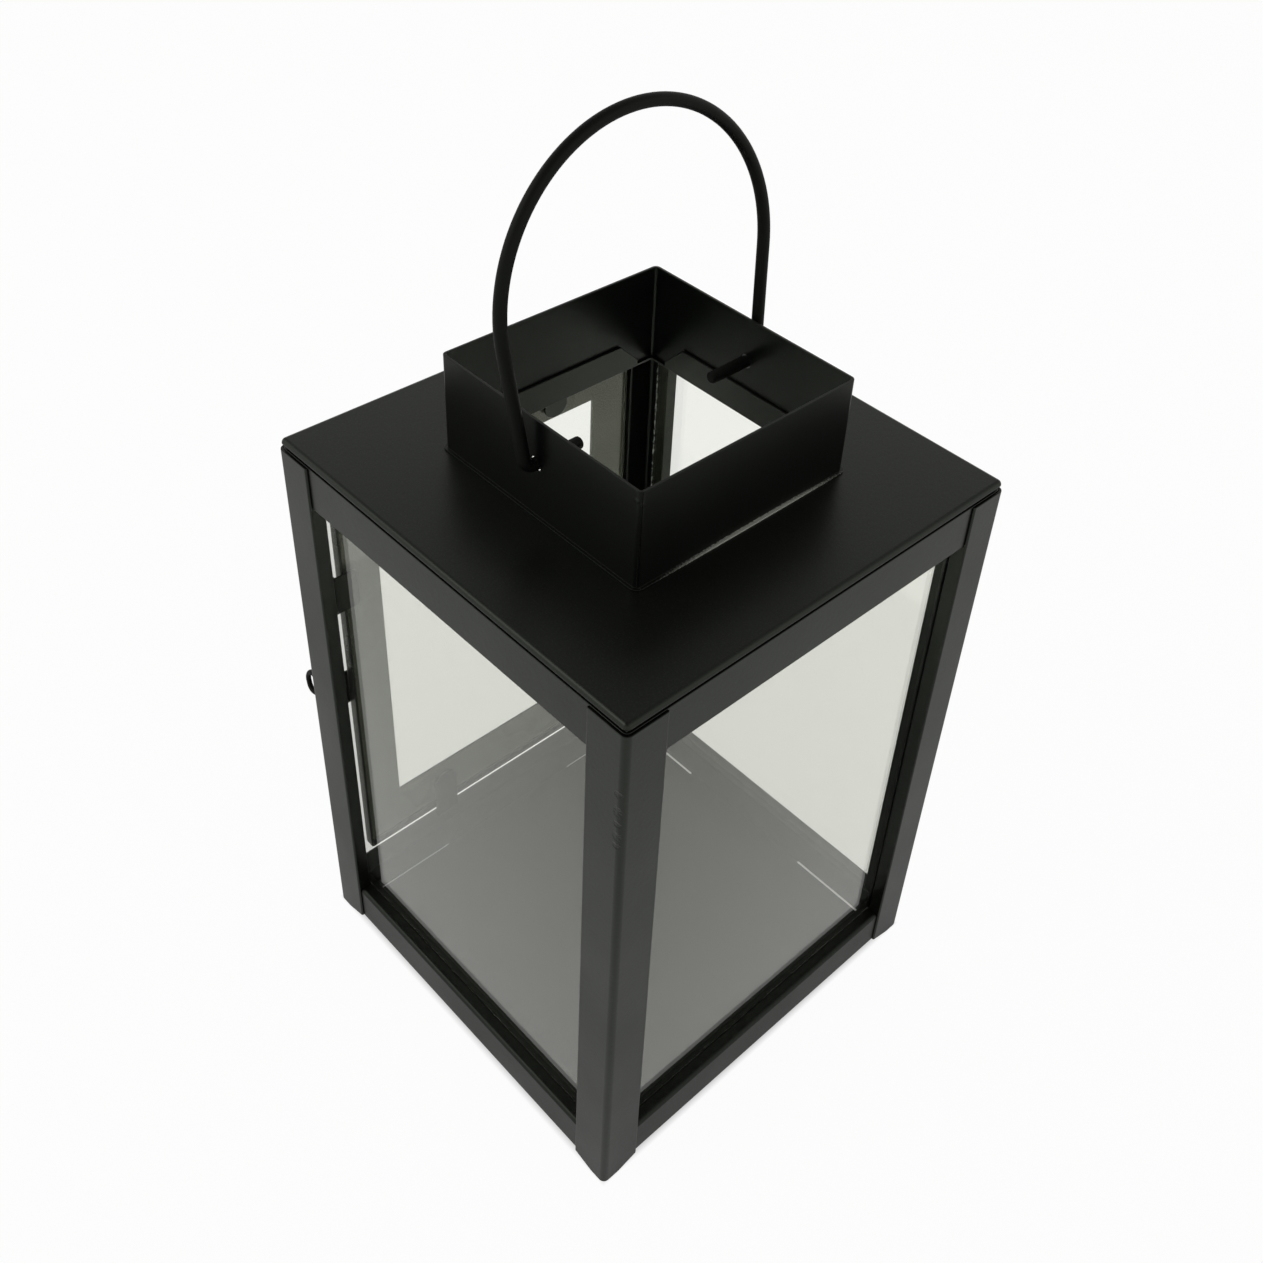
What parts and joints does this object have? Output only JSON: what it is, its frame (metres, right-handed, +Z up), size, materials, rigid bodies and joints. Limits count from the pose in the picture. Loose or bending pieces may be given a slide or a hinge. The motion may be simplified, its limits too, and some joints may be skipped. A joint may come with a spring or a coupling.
{
  "type": "candle lantern",
  "caption": "Square table lantern of folded sheet metal with glass walls, a hinged glass door with a turning eye latch, an open square chimney and a swinging wire bail.",
  "frame": {"origin": "middle of the square footprint, in the plane that the four feet stand on", "axes": "+Z up; the door is the -X wall, with its hinges at the +Y end and its latch at the -Y end"},
  "size_m": [0.1545, 0.141, 0.3006],
  "materials": {
    "frame_paint": "satin dark grey powder coat",
    "wire_paint": "satin black powder coat on wire",
    "fitting_paint": "satin black powder coat on small fittings",
    "clear_glass": "plain clear float glass with a faint veil of dust"
  },
  "bodies": {
    "frame": {"base_tray": "frame_paint", "floor_plate": "frame_paint", "top_rail": "frame_paint", "cap_lid": "frame_paint", "chimney_collar": "frame_paint", "top_door_stop": "frame_paint", "bottom_door_stop": "frame_paint", "side_door_stop": "frame_paint", "far_bead_latch_side": "frame_paint", "far_bead_hinge_side": "frame_paint", "latch_post": "frame_paint", "far_post_latch_side": "frame_paint", "far_post_hinge_side": "frame_paint", "hinge_post": "frame_paint", "latch_side_pane": "clear_glass", "hinge_side_pane": "clear_glass", "far_pane": "clear_glass", "post_hinge_leaves": "fitting_paint", "hinge_pins": "fitting_paint"},
    "door": {"door_frame": "frame_paint", "door_glass": "clear_glass", "hasp_strap": "fitting_paint", "door_hinge_leaves": "fitting_paint"},
    "bail": {"bail_handle": "wire_paint"},
    "latch": {"latch_eye": "wire_paint", "eye_washer": "fitting_paint"}
  },
  "joints": [
    {"name": "door_hinge", "type": "hinge", "parent": "frame", "child": "door", "pos_m": [-0.0731, 0.0586, 0.10085], "axis": [0, 0, -1], "range_deg": [0, 110]},
    {"name": "bail_pivot", "type": "hinge", "parent": "frame", "child": "bail", "pos_m": [0, 0, 0.2175], "axis": [0, 1, 0], "range_deg": [-92, 106]},
    {"name": "latch_turn", "type": "hinge", "parent": "frame", "child": "latch", "pos_m": [-0.0705, -0.06475, 0.0965], "axis": [1, 0, 0], "range_deg": [0, 90]}
  ]
}
